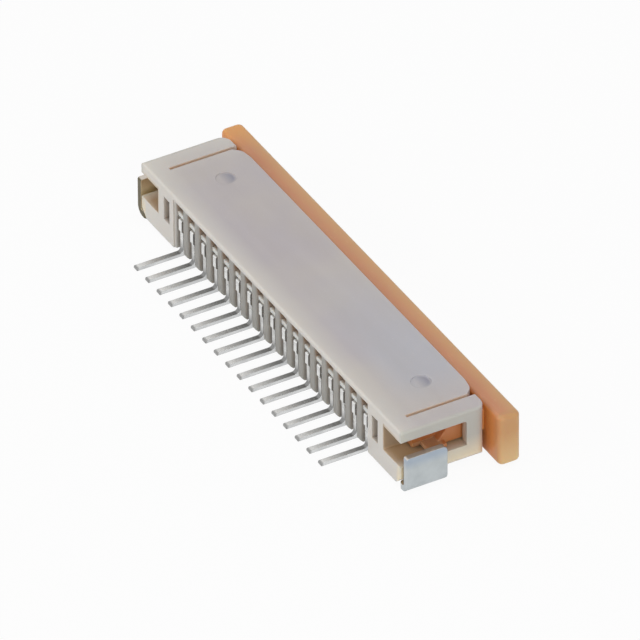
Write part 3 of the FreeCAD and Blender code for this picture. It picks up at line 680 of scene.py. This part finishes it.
bpy.ops.object.select_all(action="DESELECT")
bpy.ops.mesh.primitive_plane_add(size=FLOOR_SIDE, location=(0, 0, 0))
floor = bpy.context.object
floor.name = "studio_floor"
finish, tree, shader = new_finish("pale_floor")
shader.inputs["Base Color"].default_value = FLOOR_TONE
shader.inputs["Roughness"].default_value = 0.9
shown = whiter_for_the_eye(tree, shader.outputs["BSDF"], FLOOR_WHITE_SHARE)
tree.links.new(shown, tree.nodes["Material Output"].inputs["Surface"])
floor.data.materials.append(finish)
print("floor side in metres:", round(floor.dimensions.x, 2))

# %% The world around it
WORLD_ON_PIECE = 0.45
WORLD_FOR_THE_EYE = 1.0

world = bpy.data.worlds.new("soft_studio")
scene.world = world
world.use_nodes = True
sky = world.node_tree
sky.nodes.clear()
level = spread(sky, seen_or_mirrored(sky), (0.0, 1.0), (WORLD_ON_PIECE, WORLD_FOR_THE_EYE))
glow = add_node(sky, "ShaderNodeBackground", {"Color": (1, 1, 1, 1), "Strength": level})
add_node(sky, "ShaderNodeOutputWorld", {"Surface": glow.outputs["Background"]})
print("world ready:", world.name)

# %% [markdown]
# ## Three soft lamps
#
# One large lamp stands to the right of the connector and lights its end, one behind it
# lights the comb, and one hangs above. Each is more than half as large as its distance, so
# the shading stays soft. Power over distance squared sets how bright an area lamp is.

# %% Lamps
LIT_PLACE = (0.0, 0.0015, 0.0015)


def soft_lamp(name, place, side, power):
    """A square area lamp that looks at the connector's middle."""
    bpy.ops.object.select_all(action="DESELECT")
    bpy.ops.object.light_add(type="AREA", location=place)
    lamp = bpy.context.object
    lamp.name = name
    lamp.data.shape = "SQUARE"
    lamp.data.size = side
    lamp.data.energy = power
    aim = Vector(LIT_PLACE) - Vector(place)
    lamp.rotation_euler = aim.to_track_quat("-Z", "Y").to_euler()
    print(name, "at", [round(v, 2) for v in place])


soft_lamp("end_lamp", place=(0.26, -0.04, 0.10), side=0.16, power=0.26)
soft_lamp("rear_lamp", place=(-0.06, -0.26, 0.10), side=0.16, power=0.22)
soft_lamp("top_lamp", place=(-0.02, 0.02, 0.30), side=0.22, power=0.16)

# %% [markdown]
# ## The camera
#
# The photograph was taken with a long lens from above, behind and to the right of the row
# of tails. The direction, the distance and the focal length were found by matching the
# straight edges and the seventeen tail tips. The camera is placed from those angles: a
# constraint that looks at the middle could aim it, but it couldn't give the small roll.

# %% Camera at the photograph's angle
CAMERA_AZIMUTH = 60.81
CAMERA_HEIGHT_ANGLE = 36.31
CAMERA_ROLL = -0.37
CAMERA_AIM = Vector((-0.000347, 0.002632, 0.0005))
CAMERA_DISTANCE = 0.6884
IMAGE_SIDE = 640
FOCAL_PIXELS = 16231
SENSOR_WIDTH = 36

turn, rise, roll = (math.radians(a) for a in (CAMERA_AZIMUTH, CAMERA_HEIGHT_ANGLE, CAMERA_ROLL))
ahead = Vector((-math.sin(turn) * math.cos(rise), math.cos(turn) * math.cos(rise), -math.sin(rise)))
level_right = Vector((math.cos(turn), math.sin(turn), 0))
level_up = level_right.cross(ahead)
right = level_right * math.cos(roll) + level_up * math.sin(roll)
up = level_up * math.cos(roll) - level_right * math.sin(roll)

camera_data = bpy.data.cameras.new("product_camera")
camera = bpy.data.objects.new("product_camera", camera_data)
scene.collection.objects.link(camera)
camera_data.sensor_width = SENSOR_WIDTH
camera_data.lens = FOCAL_PIXELS * SENSOR_WIDTH / IMAGE_SIDE
camera_data.clip_start = 0.01
camera_data.clip_end = 20
camera.matrix_world = Matrix((right, up, -ahead)).transposed().to_4x4()
camera.location = CAMERA_AIM - ahead * CAMERA_DISTANCE
scene.camera = camera
print("lens in millimetres:", round(camera_data.lens))
